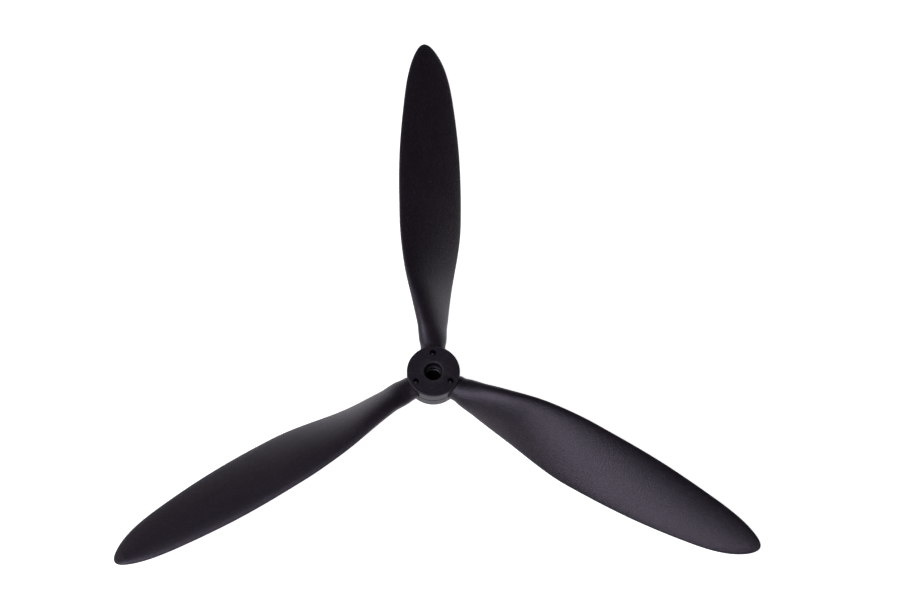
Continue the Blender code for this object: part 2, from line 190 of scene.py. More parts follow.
class FastenerSizes(bpy.types.PropertyGroup):
    """Sizes of the screws and nuts that clamp the hub."""

    circle: length("Screw circle", 7.55, "Distance from the shaft's axis to a screw")
    hole: length("Clearance hole", 0.9, "Radius of the hole through hub and foot")
    radius: length("Thread radius", 0.6, "Outside radius of the thread")
    pitch: length("Thread pitch", 0.25, "Advance of the thread in one turn")
    depth: length("Thread depth", 0.15, "Depth of the thread")
    head: length("Head radius", 0.95, "Radius of the screw's head")
    head_low: length("Head underside", 8.65, "Height of the head's underside")
    head_high: length("Head edge", 9.2, "Height of the top of the head's side")
    dome: length("Head dome", 0.3, "Rise of the head's dome")
    tip: length("Screw tip", 0.2, "Height of the screw's tip")
    drive: length("Drive length", 1.1, "Length of each slot of the cross recess")
    drive_width: length("Drive width", 0.24, "Width of each slot of the cross recess")
    drive_depth: length("Drive depth", 0.45, "Depth of the cross recess")
    nut_flats: length("Nut", 2.2, "Width across the flats of a nut")
    nut_low: length("Nut underside", 0.3, "Height of a nut's rear face")
    nut_high: length("Nut top", 1.2, "Height of a nut's front face")


class Finishes(bpy.types.PropertyGroup):
    """Colours of the pieces, and the size of their grain."""

    hub: colour("Hub nylon", (0.0130, 0.0085, 0.0138), "Moulded nylon of the hub")
    blade: colour("Blade nylon", (0.0150, 0.0102, 0.0160), "Moulded nylon of the blades")
    fibre: colour("Fibre", (0.070, 0.058, 0.074), "Short fibres that lie in the nylon's skin")
    rubbed: colour("Rubbed edge", (0.050, 0.047, 0.054), "Nylon along a rubbed edge")
    bush: colour("Bush", (0.110, 0.106, 0.116), "Dark anodised aluminium of the bush")
    steel: colour("Fastener steel", (0.036, 0.034, 0.038), "Plain steel of the screws and nuts")
    floor: colour("Floor", (0.80, 0.80, 0.80), "The pale floor")
    grain: length("Grain", 0.40, "Size of the moulded grain")


class StageSizes(bpy.types.PropertyGroup):
    """Camera, lights and floor."""

    floor_reach: length("Floor reach", 3000, "Radius of the round floor")
    floor_glow: number("Floor glow", 0.65, "Light that the floor itself gives off")
    floor_seen: number("Floor seen", 0.95, "The floor's own light as the camera sees it")
    sky: number("Room light", 0.5, "Strength of the room's light at the horizon")
    box_power: number("Softbox", 7.6, "Power of the large softbox, in watts")
    fill_power: number("Fill", 1.0, "Power of the small fill light, in watts")
    side_power: number("Side light", 1.7, "Power of the low side light, in watts")
    box_side: length("Softbox side", 620, "Side of the large softbox")
    box_reach: length("Softbox distance", 1100, "Distance from the hub to each light")
    lens: number("Lens", 168.0, "Focal length in millimetres on a 36 mm sensor")
    distance: length("Distance", 1600.6, "Distance from the camera to the aim point's plane")
    tilt: turn("Tilt", 20.74, "Angle between the view and straight down")
    swing: turn("Swing", 2.28, "Turn of the view about the vertical")
    roll: turn("Roll", -1.53, "Roll of the camera about its view")
    aim_right: length("Aim right", 6.4, "Camera's shift to the right of the shaft")
    aim_up: length("Aim up", 31.12, "Camera's shift up from the shaft")
    aim_drop: length("Aim drop", 1.88, "Camera's shift down along the shaft")


# Curves and grids ------------------------------------------------------------------------


def smooth_step(value, low, high):
    """Nought below low, one above high, and 3t^2 - 2t^3 of the way t between them."""
    t = np.clip((value - low) / (high - low), 0.0, 1.0)
    return t * t * (3 - 2 * t)


def through(table, share):
    """A cubic through the table's points. Each span blends its end values and slopes with the
    four Hermite polynomials, and a point's slope is the rise over run of its neighbours."""
    x, y = np.array(table, float).T
    last = len(x) - 1
    before, after = np.maximum(np.arange(last + 1) - 1, 0), np.minimum(np.arange(last + 1) + 1, last)
    slope = (y[after] - y[before]) / (x[after] - x[before])
    share = np.clip(share, x[0], x[last])
    i = np.clip(np.searchsorted(x, share, side="right") - 1, 0, last - 1)
    width = x[i + 1] - x[i]
    t = (share - x[i]) / width
    ends = (2 * t**3 - 3 * t**2 + 1) * y[i] + (3 * t**2 - 2 * t**3) * y[i + 1]
    return ends + width * ((t**3 - 2 * t**2 + t) * slope[i] + (t**3 - t**2) * slope[i + 1])


def arc(centre, radius, start, end, count=9):
    """Points (radius, height) on a circle's arc: the centre plus the radius times the cosine
    and sine of evenly spaced angles, given in degrees."""
    angle = np.radians(np.linspace(start, end, count))
    return np.column_stack(
        [centre[0] + radius * np.cos(angle), centre[1] + radius * np.sin(angle)]
    )


def round_turns(count):
    """Evenly spaced angles once round, without the last that would repeat the first."""
    return np.arange(count) * (2 * pi / count)


def revolve(profile, count):
    """Grid of a profile turned about Z: the point at (radius r, height z) and angle a is
    (r cos a, r sin a, z)."""
    profile = np.asarray(profile, float)
    angle = round_turns(count)
    radius = profile[:, 0, None]
    height = np.repeat(profile[:, 1, None], count, axis=1)
    return np.stack([radius * np.cos(angle), radius * np.sin(angle), height], axis=-1)


def quads(rows, columns, closed_rows=False):
    """Corner numbers of the quads of a grid whose columns go once round. With closed rows,
    the last row joins the first as well."""
    row = np.arange(rows if closed_rows else rows - 1)[:, None]
    column = np.arange(columns)[None, :]
    next_row, next_column = (row + 1) % rows, (column + 1) % columns
    corners = [
        row * columns + column,
        row * columns + next_column,
        next_row * columns + next_column,
        next_row * columns + column,
    ]
    return np.stack([np.broadcast_to(c, (len(row), columns)) for c in corners], axis=-1).reshape(-1, 4)


def fan(first, columns, pole, outward):
    """Triangles from one row of a grid to a single pole point."""
    column = np.arange(columns)
    near, far = first + column, first + (column + 1) % columns
    ends = (near, far) if outward else (far, near)
    return np.column_stack([*ends, np.full(columns, pole)])


def volume_of(points, faces):
    """Signed volume inside closed faces: a sixth of the triple product summed over a fan of
    triangles in each face."""
    total = 0.0
    for a, b in zip(range(1, faces.shape[1] - 1), range(2, faces.shape[1])):
        corner = points[faces[:, 0]], points[faces[:, a]], points[faces[:, b]]
        total += np.einsum("ij,ij->i", corner[0], np.cross(corner[1], corner[2])).sum()
    return total / 6


def mesh_of(name, points, *face_sets):
    """A mesh from points and sets of triangles or quads, turned so that it faces outwards."""
    inside_out = sum(volume_of(points, faces) for faces in face_sets) < 0
    faces = []
    for face_set in face_sets:
        faces += (face_set[:, ::-1] if inside_out else face_set).tolist()
    mesh = bpy.data.meshes.new(name)
    mesh.from_pydata(points.tolist(), [], faces)
    mesh.update()
    return mesh


def ring_mesh(name, grid):
    """A closed ring: a grid that joins up both ways."""
    rows, columns = grid.shape[:2]
    return mesh_of(name, grid.reshape(-1, 3), quads(rows, columns, closed_rows=True))


def capped_mesh(name, grid, first_pole, last_pole):
    """A closed bar: a grid that joins up round its columns, with a pole at each end."""
    rows, columns = grid.shape[:2]
    points = np.concatenate([grid.reshape(-1, 3), [first_pole, last_pole]])
    count = rows * columns
    return mesh_of(
        name,
        points,
        quads(rows, columns),
        np.concatenate([
            fan(0, columns, count, outward=False),
            fan(count - columns, columns, count + 1, outward=True),
        ]),
    )


# Making pieces ---------------------------------------------------------------------------


def points_of(mesh):
    """A mesh's points as rows of x, y and z."""
    flat = np.empty(len(mesh.vertices) * 3, np.float32)
    mesh.vertices.foreach_get("co", flat)
    return flat.reshape(-1, 3).astype(float)


def add_object(name, mesh):
    """An object linked to the scene."""
    obj = bpy.data.objects.new(name, mesh)
    bpy.context.scene.collection.objects.link(obj)
    return obj


def cut_away(mesh, cutters):
    """The mesh with each cutter mesh taken out of it, in order."""
    block = add_object("block", mesh)
    used = [block]
    for cutter in cutters:
        tool = add_object("cutter", cutter)
        used.append(tool)
        step = block.modifiers.new("cut", "BOOLEAN")
        step.operation = "DIFFERENCE"
        step.solver = "EXACT"
        step.object = tool
    graph = bpy.context.evaluated_depsgraph_get()
    result = bpy.data.meshes.new_from_object(block.evaluated_get(graph))
    spare = {obj.data for obj in used}
    for obj in used:
        bpy.data.objects.remove(obj, do_unlink=True)
    for old in spare:
        bpy.data.meshes.remove(old)
    return result


def moved(mesh, angle_deg, outward=0.0):
    """A copy of a mesh, shifted outward along +X and then turned about Z."""
    copy = mesh.copy()
    copy.transform(Matrix.Rotation(radians(angle_deg), 4, "Z") @ Matrix.Translation((outward, 0, 0)))
    return copy


def keep_place(mesh, edge):
    """Stores each point's own place and its closeness to an edge, for the materials. They are
    stored before the mesh is moved, so that a pattern is carried with the piece."""
    place = points_of(mesh)
    attribute = mesh.attributes.new("own_place", "FLOAT_VECTOR", "POINT")
    attribute.data.foreach_set("vector", place.ravel())
    attribute = mesh.attributes.new("own_edge", "FLOAT", "POINT")
    attribute.data.foreach_set("value", np.clip(edge(place), 0.0, 1.0))


def finish_piece(name, mesh, body, material, sharp_deg=28):
    """Makes the piece that stands for the CAD node of the same name plus an ending: it is
    shaded smooth up to the sharp angle and rides on its body."""
    mesh.shade_smooth()
    mesh.set_sharp_from_angle(angle=radians(sharp_deg))
    mesh.materials.clear()
    mesh.materials.append(material)
    piece = add_object(name + "_finished", mesh)
    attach(piece, body)
    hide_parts(name)
    return piece


def near(value, target, spread):
    """One at the target, falling away as a bell of that spread."""
    return np.exp(-(((value - target) / spread) ** 2))


# Hub -------------------------------------------------------------------------------------


def hub_half_profile(hub, face, meeting, seat_end):
    """Profile of a half: from the shaft hole's rounding along the face, round the outer edge,
    down the wall to the meeting plane and back through the bush's seat. A short support sits
    beside each rounding, to keep the flats flat."""
    sign = 1 if face > meeting else -1
    support = 0.04 * MM
    hole_centre = (hub.hole + hub.hole_edge, face - sign * hub.hole_edge)
    edge_centre = (hub.radius - hub.edge, face - sign * hub.edge)
    inner = arc(hole_centre, hub.hole_edge, 180, 180 - sign * 90)
    outer = arc(edge_centre, hub.edge, sign * 90, 0, 13)
    chamfer = 0.12 * MM
    return np.concatenate([
        inner,
        [(inner[-1][0] + support, face), (outer[0][0] - support, face)],
        outer,
        [
            (hub.radius, outer[-1][1] - sign * support),
            (hub.radius, meeting + sign * chamfer),
            (hub.radius - chamfer, meeting),
            (hub.seat, meeting),
            (hub.seat, seat_end),
            (hub.hole, seat_end),
            (hub.hole, inner[0][1] - sign * support),
        ],
    ])


def fastener_cutter(seat_of, hole, floor, mouth, lead_in, sides=72):
    """What one fastener takes out of a half, in one closed cutter along Z. A round hole runs up
    to the seat's floor and steps out to the seat's outline, which is a radius for each angle.
    The outline runs to the mouth, then widens one for one to leave a chamfer."""
    over = 1.0 * MM
    sign = 1 if mouth > floor else -1
    far = floor - sign * 15 * MM
    heights = np.array([far, floor, floor, mouth - sign * lead_in, mouth + sign * over])
    angle = round_turns(sides)
    seat = seat_of(angle)
    round_hole = np.full(sides, hole)
    radius = np.stack([round_hole, round_hole, seat, seat, seat + lead_in + over])
    grid = np.stack(
        [
            radius * np.cos(angle),
            radius * np.sin(angle),
            np.repeat(heights[:, None], sides, axis=1),
        ],
        axis=-1,
    )
    return capped_mesh("cutter", grid, (0, 0, heights[0]), (0, 0, heights[-1]))


def circle_outline(radius):
    """A circle: the same radius at every angle."""
    return lambda angle: np.full(len(angle), radius)


def hexagon_outline(across_flats, corner=0.12):
    """A hexagon with its flats facing +X: half the width over the cosine of the angle from the
    nearest flat, with the corners drawn in by the given share."""
    def radius(angle):
        from_flat = (angle + pi / 6) % (pi / 3) - pi / 6
        drawn_in = 1 - corner * smooth_step(np.abs(from_flat), pi / 6 - 0.16, pi / 6)
        return across_flats / 2 / np.cos(from_flat) * drawn_in

    return radius


def bar_along_x(outline, low, high):
    """Closed bar along +X from an outline of (y, z) points."""
    y, z = outline
    grid = np.stack(
        [np.stack([np.full(len(y), x), y, z], axis=-1) for x in (low, high)], axis=0
    )
    middle = (float(np.mean(y)), float(np.mean(z)))
    return capped_mesh("cutter", grid, (low, *middle), (high, *middle))


def foot_outline(blade, spare, count, power=12.0):
    """A rectangle with slightly rounded corners: a superellipse, with each coordinate the
    half-size times the cosine or sine raised to two over the power."""
    angle = round_turns(count)
    cos, sin = np.cos(angle), np.sin(angle)
    y = (blade.foot_width / 2 + spare) * np.sign(cos) * np.abs(cos) ** (2 / power)
    z = (blade.foot_depth / 2 + spare) * np.sign(sin) * np.abs(sin) ** (2 / power)
    return y, blade.shank_height + z


def shank_outline(blade, spare, angle):
    """An ellipse turned by the shank's turn, grown by the spare all round."""
    along = (blade.shank_width / 2 + spare) * np.cos(angle)
    across = (blade.shank_depth / 2 + spare) * np.sin(angle)
    cos, sin = np.cos(blade.shank_turn), np.sin(blade.shank_turn)
    return along * cos - across * sin, blade.shank_height + along * sin + across * cos


def hub_cutters(scene, front):
    """What the blades and fasteners take out of one half, for all three blades: the fastener's
    seat and hole, the foot's pocket and the shank's socket."""
    hub, blade, fastener = scene.prop_hub, scene.prop_blade, scene.prop_fastener
    gap = 0.3 * MM
    outline, floor, mouth = (
        (circle_outline(hub.recess), hub.recess_floor, hub.height)
        if front
        else (hexagon_outline(hub.pocket_flats), hub.pocket_top, 0.0)
    )
    seat = fastener_cutter(outline, fastener.hole, floor, mouth, hub.lead_in)
    foot = bar_along_x(
        foot_outline(blade, gap, 64), blade.foot_start - gap, blade.shank_start + gap
    )
    socket = bar_along_x(
        shank_outline(blade, gap, round_turns(128)), blade.shank_start - gap, 2 * hub.radius
    )
    cutters = []
    for mesh, outward in ((seat, fastener.circle), (foot, 0), (socket, 0)):
        cutters += [moved(mesh, angle, outward) for angle in BLADE_ANGLES]
        bpy.data.meshes.remove(mesh)
    return cutters


def hub_edge(hub):
    """Closeness to the hub's rubbed edges: the two outer roundings and the hole's."""
    def edge(place):
        radius = np.hypot(place[:, 0], place[:, 1])
        high = np.abs(place[:, 2] - hub.height / 2) - hub.height / 2
        outer = near(radius, hub.radius, 0.35 * MM) * near(high, 0, 0.35 * MM)
        return outer + 1.6 * near(radius, hub.hole, 0.5 * MM) * near(high, 0, 0.5 * MM)

    return edge


def make_hub(scene):
    """The two halves of the hub."""
    hub = scene.prop_hub
    middle = hub.height / 2
    material = nylon_material(scene, "hub_nylon", scene.prop_finish.hub, 0.46, 0.40)
    halves = (
        ("hub_rear_half", 0.0, middle - hub.seam / 2, hub.seat_rear, False),
        ("hub_front_half", hub.height, middle + hub.seam / 2, hub.seat_front, True),
    )
    for name, face, meeting, seat_end, front in halves:
        profile = hub_half_profile(hub, face, meeting, seat_end)
        mesh = cut_away(ring_mesh(name, revolve(profile, 192)), hub_cutters(scene, front))
        keep_place(mesh, hub_edge(hub))
        finish_piece(name, mesh, "propeller", material)


# Blades ----------------------------------------------------------------------------------


def blade_section(blade, radius, turn_angle):
    """Points (y, z) of the blade's section at each radius and each turn round it.

    The way back from the leading edge is (1 - cos turn) / 2. The half-thickness blends an
    ellipse near the root into an aerofoil on a thin slab, the camber line is a parabola, and
    the whole is turned by the helix angle about the chord's middle. A fine ridge, a bell of
    the half-thickness, stands out along both edges."""
    share = radius / blade.tip
    chord = blade.tip * through(PLANFORM, share) * np.sqrt(np.maximum(1 - share, 0))
    rounding = np.sqrt(np.clip((blade.tip - radius) / blade.tip_rounding, 0, 1))
    thickness = through(THICKNESS, share) * MM * rounding
    angle = blade_angle(blade, radius)
    middle_y, middle_z = chord_middle(blade, radius)
    blend = smooth_step(radius, blade.foil_start, blade.foil_full)
    edge = np.minimum(blade.edge, thickness)
    back = (1 - np.cos(turn_angle)) / 2
    powers = (np.sqrt(back), back, back**2, back**3, back**4)
    foil = sum(factor * power for factor, power in zip(AEROFOIL, powers))
    slab = np.sqrt(np.maximum(1 - (2 * back - 1) ** 8, 0))
    foil_half = (thickness - edge) * foil + edge / 2 * slab
    oval_half = thickness * np.sqrt(back * (1 - back))
    half = blend * foil_half + (1 - blend) * oval_half
    side = np.where(turn_angle <= pi, 1.0, -1.0)
    across = blend * blade.camber * chord * 4 * back * (1 - back) + side * half
    ridge = blade.flash * near(half, 0, 0.09 * MM) * smooth_step(blade.tip - radius, 0, 3 * MM)
    along = chord * (0.5 - back) + ridge * np.sign(0.5 - back)
    y = middle_y + along * np.cos(angle) - across * np.sin(angle)
    return y, middle_z + along * np.sin(angle) + across * np.cos(angle)


def blade_angle(blade, radius):
    """Helix angle: the arctangent of pitch over circumference, with the radius eased to a
    steady value near the root by a power mean, and the shank's own turn inside that."""
    eased = ((radius / blade.root_pitch) ** 8 + 1) ** (1 / 8) * blade.root_pitch
    helix = np.arctan(blade.pitch / (2 * pi * eased))
    settled = smooth_step(radius, blade.shank_end, blade.twist_full)
    return blade.shank_turn + (helix - blade.shank_turn) * settled


def chord_middle(blade, radius):
    """Place (y, z) of the chord's middle: a small sweep with a bell at the shoulder and a high
    power of the radius at the tip, and a height that falls as a power of the way left."""
    lead_in = smooth_step(radius, blade.shank_end, 42 * MM)
    shoulder = blade.shoulder * near(radius, 40 * MM, 16 * MM)
    y = lead_in * (blade.sweep + shoulder) + blade.tip_sweep * (radius / blade.tip) ** 16
    way = np.clip((radius - 25 * MM) / (blade.tip - 25 * MM), 0, 1)
    return y, blade.tip_height + (blade.root_height - blade.tip_height) * (1 - way) ** 1.36


def blade_stations(blade, first, count=250, crowding=1.6):
    """Radii along the blade: even over the root, then closing up towards the tip as one less
    the way left raised to the crowding."""
    root = np.linspace(blade.shank_end, first, 12, endpoint=False)
    way = np.arange(count) / count
    return np.concatenate([root, first + (blade.tip - first) * (1 - (1 - way) ** crowding)])


def blade_grid(blade, columns=176):
    """Grid of the whole blade: rounded rectangles for the foot, the turned oval for the shank,
    then the sections. Just past the hub the oval is blended into the first sections."""
    angle = round_turns(columns)
    small = 0.15 * MM
    foot = foot_outline(blade, 0.0, columns)
    less_foot = foot_outline(blade, -small, columns)
    shank = shank_outline(blade, 0.0, angle)
    less_shank = shank_outline(blade, -small, angle)
    rows = [
        (blade.foot_start, less_foot),
        (blade.foot_start + small, foot),
        (blade.shank_start, foot),
        (blade.shank_start, less_shank),
        (blade.shank_start + small, shank),
    ]
    rows = [np.stack([np.full(columns, x), y, z], axis=-1) for x, (y, z) in rows]
    radius = blade_stations(blade, 14 * MM)[:, None]
    y, z = blade_section(blade, np.maximum(radius, 10.6 * MM), angle[None, :])
    joined = smooth_step(radius, blade.shank_end, 13.5 * MM)
    y = joined * y + (1 - joined) * shank[0]
    z = joined * z + (1 - joined) * shank[1]
    outer = np.stack([np.broadcast_to(radius, y.shape), y, z], axis=-1)
    return np.concatenate([np.stack(rows), outer])


def blade_edge(blade):
    """Closeness to the blade's leading and trailing edges and tip, from how far back along
    the chord a point lies."""
    def edge(place):
        radius = np.clip(place[:, 0], blade.shank_end, blade.tip)
        share = radius / blade.tip
        chord = blade.tip * through(PLANFORM, share) * np.sqrt(np.maximum(1 - share, 1e-6))
        angle = blade_angle(blade, radius)
        y, z = chord_middle(blade, radius)
        along = (place[:, 1] - y) * np.cos(angle) + (place[:, 2] - z) * np.sin(angle)
        inset = chord / 2 - np.abs(along)
        grown = smooth_step(radius, 14 * MM, 40 * MM)
        return grown * near(np.minimum(inset, blade.tip - radius), 0, 0.5 * MM)

    return edge


def make_blades(scene):
    """Three blades, each with its shank, its foot and the screw's hole through the foot."""
    blade, fastener = scene.prop_blade, scene.prop_fastener
    grid = blade_grid(blade)
    y, z = chord_middle(blade, blade.tip)
    first = (blade.foot_start, 0.0, blade.shank_height)
    pattern = capped_mesh("blade", grid, first, (blade.tip, y, z))
    post = revolve([(fastener.hole, 0), (fastener.hole, 10 * MM)], 40)
    hole = capped_mesh("cutter", post, (0, 0, 0), (0, 0, 10 * MM))
    pattern = cut_away(pattern, [moved(hole, 0, fastener.circle)])
    keep_place(pattern, blade_edge(blade))
    material = nylon_material(scene, "blade_nylon", scene.prop_finish.blade, 0.40, 0.75)
    for count, angle in enumerate(BLADE_ANGLES, start=1):
        mesh = moved(pattern, angle)
        finish_piece(f"blade_{count}", mesh, "propeller", material, 40)


# Bush and fasteners ----------------------------------------------------------------------


def make_bush(scene):
    """The turned bush: a ring with chamfered ends and a shallow oil groove round its bore."""
    bush = scene.prop_bush
    chamfer = bush.edge
    middle, groove = (bush.bottom + bush.top) / 2, 0.3 * MM
    profile = [
        (bush.bore + chamfer, bush.top),
        (bush.radius - chamfer, bush.top),
        (bush.radius, bush.top - chamfer),
        (bush.radius, bush.bottom + chamfer),
        (bush.radius - chamfer, bush.bottom),
        (bush.bore + chamfer, bush.bottom),
        (bush.bore, bush.bottom + chamfer),
        (bush.bore, middle - groove),
        *arc((bush.bore, middle), groove, -60, 60, 9),
        (bush.bore, middle + groove),
        (bush.bore, bush.top - chamfer),
    ]
    mesh = ring_mesh("shaft_bush", revolve(profile, 144))

    def edge(place):
        radius = np.hypot(place[:, 0], place[:, 1])
        return near(radius, bush.bore + chamfer, 0.1 * MM) + near(radius, bush.radius, 0.1 * MM)

    keep_place(mesh, edge)
    material = metal_material(scene, "bush_aluminium", scene.prop_finish.bush, 0.42)
    finish_piece("shaft_bush", mesh, "bush", material)


def thread_depth(height, angle, pitch):
    """Depth of a thread as a share: a flattened triangle wave of the height in pitches less
    the share of a turn, which climbs one pitch each time round."""
    phase = (height / pitch - angle / (2 * pi)) % 1.0
    return np.clip(1.25 * (1 - np.abs(2 * phase - 1)) - 0.12, 0.0, 1.0)


def screw_mesh(fastener):
    """One screw: a profile turned about Z, whose body is drawn in by the thread's wave. The
    dome is a parabola, and a tapering cross is cut into it."""
    share = np.linspace(0.06, 1, 12)
    dome = np.column_stack(
        [fastener.head * 0.97 * share, fastener.head_high + fastener.dome * (1 - share**2)]
    )
    side = [
        (fastener.head, fastener.head_high - 0.05 * MM),
        (fastener.head, fastener.head_low + 0.05 * MM),
        (fastener.head - 0.05 * MM, fastener.head_low),
        (fastener.radius, fastener.head_low),
    ]
    height = np.arange(fastener.head_low - 0.4 * MM, fastener.tip + 0.15 * MM, -fastener.pitch / 8)
    body = np.column_stack([np.full(len(height), fastener.radius), height])
    core = fastener.radius - fastener.depth
    tip = [(core, fastener.tip + 0.02 * MM), (core * 0.8, fastener.tip)]
    profile = np.concatenate([dome, side, body, tip])
    columns = 32
    grid = revolve(profile, columns)
    rows = slice(len(dome) + len(side), len(dome) + len(side) + len(body))
    ease = smooth_step(height, fastener.tip, fastener.tip + 0.5 * MM)
    wave = thread_depth(height[:, None], round_turns(columns)[None, :], fastener.pitch)
    drawn_in = fastener.depth * np.maximum(wave, 1 - ease[:, None]) / fastener.radius
    grid[rows, :, :2] *= (1 - drawn_in)[..., None]
    top = (0, 0, fastener.head_high + fastener.dome)
    mesh = capped_mesh("screw", grid, top, (0, 0, fastener.tip))
    return cut_away(mesh, [drive_cutter(fastener)])


def drive_cutter(fastener):
    """Cross-shaped cutter: at each angle the longer reach of two crossed rectangles, and it
    tapers by a third over its depth."""
    angle = round_turns(96)
    cos, sin = np.abs(np.cos(angle)) + 1e-9, np.abs(np.sin(angle)) + 1e-9
    long, wide = fastener.drive / 2, fastener.drive_width / 2
    reach = np.maximum(np.minimum(long / cos, wide / sin), np.minimum(wide / cos, long / sin))
    top = fastener.head_high + fastener.dome
    grid = np.stack([
        np.stack([reach * scale * np.cos(angle), reach * scale * np.sin(angle),
                  np.full(len(angle), height)], axis=-1)
        for height, scale in ((top - fastener.drive_depth, 0.66), (top + 0.3 * MM, 1.15))
    ])
    low, high = grid[0, 0, 2], grid[1, 0, 2]
    return capped_mesh("cutter", grid, (0, 0, low), (0, 0, high))


def nut_mesh(fastener):
    """One nut: a ring whose outer wall is a hexagon and whose bore is the screw's thread with
    a small clearance. A cone of 30 degrees draws the corners of both faces down."""
    columns = 144
    angle = round_turns(columns)
    outer = hexagon_outline(fastener.nut_flats, corner=0.02)(angle)
    flat = fastener.nut_flats / 2
    slope = np.tan(radians(30))
    drop = np.maximum(outer - flat * 0.99, 0) * slope
    high, low = fastener.nut_high, fastener.nut_low
    shelf = np.minimum(outer, flat * 0.99)
    chamfer = 0.1 * MM
    inner = fastener.radius - fastener.depth + 0.02 * MM
    rows = [
        (np.full(columns, inner + chamfer), np.full(columns, high)),
        (shelf, np.full(columns, high)),
        (outer, high - drop),
        (outer, low + drop),
        (shelf, np.full(columns, low)),
        (np.full(columns, inner + chamfer), np.full(columns, low)),
    ]
    for height in np.arange(low + chamfer, high - chamfer, fastener.pitch / 8):
        wave = thread_depth(height, angle, fastener.pitch)
        bore = fastener.radius - fastener.depth * wave + 0.02 * MM
        rows.append((bore, np.full(columns, height)))
    grid = np.stack([
        np.stack([radius * np.cos(angle), radius * np.sin(angle), height], axis=-1)
        for radius, height in rows
    ])
    return ring_mesh("nut", grid)


def make_fasteners(scene):
    """Three screws with their nuts, one of each on every blade's foot."""
    fastener = scene.prop_fastener
    material = metal_material(scene, "fastener_steel", scene.prop_finish.steel, 0.46)

    def screw_edge(place):
        rim = near(np.hypot(place[:, 0], place[:, 1]), fastener.head, 0.08 * MM)
        return rim * smooth_step(place[:, 2], 8 * MM, 9 * MM)

    def nut_edge(place):
        return near(np.hypot(place[:, 0], place[:, 1]), 1.25 * MM, 0.08 * MM)

    for name, pattern, edge in (
        ("clamp_screw", screw_mesh(fastener), screw_edge),
        ("clamp_nut", nut_mesh(fastener), nut_edge),
    ):
        keep_place(pattern, edge)
        for count, angle in enumerate(BLADE_ANGLES, start=1):
            mesh = moved(pattern, angle, fastener.circle)
            finish_piece(f"{name}_{count}", mesh, "propeller", material)


# Materials -------------------------------------------------------------------------------


def add_node(tree, kind, inputs=None, **settings):
    """A node with its settings and the values of its named or numbered inputs."""
    made = tree.nodes.new(kind)
    for key, value in settings.items():
        setattr(made, key, value)
    for key, value in (inputs or {}).items():
        if isinstance(value, bpy.types.NodeSocket):
            tree.links.new(value, made.inputs[key])
        else:
            made.inputs[key].default_value = value
    return made


def math_node(tree, operation, *values):
    """The result of a maths node."""
    return add_node(tree, "ShaderNodeMath", dict(enumerate(values)), operation=operation).outputs[0]


def ranged(tree, value, low, high, to_low, to_high):
    """A value carried from one range to another, held at its ends."""
    inputs = {0: value, 1: low, 2: high, 3: to_low, 4: to_high}
    return add_node(tree, "ShaderNodeMapRange", inputs).outputs[0]


def mixed(tree, share, first, second):
    """A colour between two, by a share."""
    made = add_node(tree, "ShaderNodeMix", data_type="RGBA")
    for socket, value in zip((made.inputs[0], made.inputs[6], made.inputs[7]), (share, first, second)):
        if isinstance(value, bpy.types.NodeSocket):
            tree.links.new(value, socket)
        else:
            socket.default_value = value
    return made.outputs[2]


def group_tree(name, inputs, outputs):
    """A node group with those sockets: its tree, its input sockets and its output node."""
    tree = bpy.data.node_groups.new(name, "ShaderNodeTree")
    for label, kind, value in inputs:
        socket = tree.interface.new_socket(name=label, in_out="INPUT", socket_type="NodeSocket" + kind)
        if value is not None:
            socket.default_value = value
    for label, kind in outputs:
        tree.interface.new_socket(name=label, in_out="OUTPUT", socket_type="NodeSocket" + kind)
    entry = tree.nodes.new("NodeGroupInput")
    return tree, entry.outputs, tree.nodes.new("NodeGroupOutput")


def moulded_grain():
    """Group: the skin of moulded nylon. Height is a fine grain on a slow flow of the melt
    along the piece, and Flow is that slow part alone."""
    tree, given, out = group_tree(
        "moulded_grain",
        [("Place", "Vector", None), ("Grain", "Float", 2500.0), ("Flow", "Float", 160.0)],
        [("Height", "Float"), ("Flow", "Float")],
    )
    drawn = add_node(tree, "ShaderNodeMapping", {0: given["Place"], 3: (0.3, 1.0, 1.0)})
    fine = add_node(
        tree, "ShaderNodeTexNoise",
        {"Vector": given["Place"], "Scale": given["Grain"], "Detail": 3.0, "Roughness": 0.6},
    )
    slow = add_node(
        tree, "ShaderNodeTexNoise",
        {"Vector": drawn.outputs[0], "Scale": given["Flow"], "Detail": 2.0, "Distortion": 0.6},
    )
    part = math_node(tree, "MULTIPLY", slow.outputs[0], 0.35)
    tree.links.new(math_node(tree, "ADD", fine.outputs[0], part), out.inputs["Height"])
    tree.links.new(slow.outputs[0], out.inputs["Flow"])
    return tree


def fibre_fleck():
    """Group: short fibres lying along the melt's flow, as stretched specks."""
    tree, given, out = group_tree(
        "fibre_fleck",
        [("Place", "Vector", None), ("Scale", "Float", 3200.0), ("Start", "Float", 0.62)],
        [("Fleck", "Float")],
    )
    drawn = add_node(tree, "ShaderNodeMapping", {0: given["Place"], 3: (0.35, 1.0, 1.0)})
    specks = add_node(
        tree, "ShaderNodeTexNoise",
        {"Vector": drawn.outputs[0], "Scale": given["Scale"], "Detail": 1.0, "Distortion": 0.4},
    )
    end = math_node(tree, "ADD", given["Start"], 0.12)
    tree.links.new(ranged(tree, specks.outputs[0], given["Start"], end, 0.0, 1.0), out.inputs["Fleck"])
    return tree


def edge_wear():
    """Group: wear along edges, as the closeness to an edge broken up by a rough noise."""
    tree, given, out = group_tree(
        "edge_wear",
        [("Place", "Vector", None), ("Edge", "Float", 0.0), ("Patch", "Float", 900.0)],
        [("Wear", "Float")],
    )
    rough = add_node(
        tree, "ShaderNodeTexNoise",
        {"Vector": given["Place"], "Scale": given["Patch"], "Detail": 4.0, "Roughness": 0.7},
    )
    broken = math_node(tree, "MULTIPLY", given["Edge"], rough.outputs[0])
    tree.links.new(ranged(tree, broken, 0.28, 0.60, 0.0, 1.0), out.inputs["Wear"])
    return tree


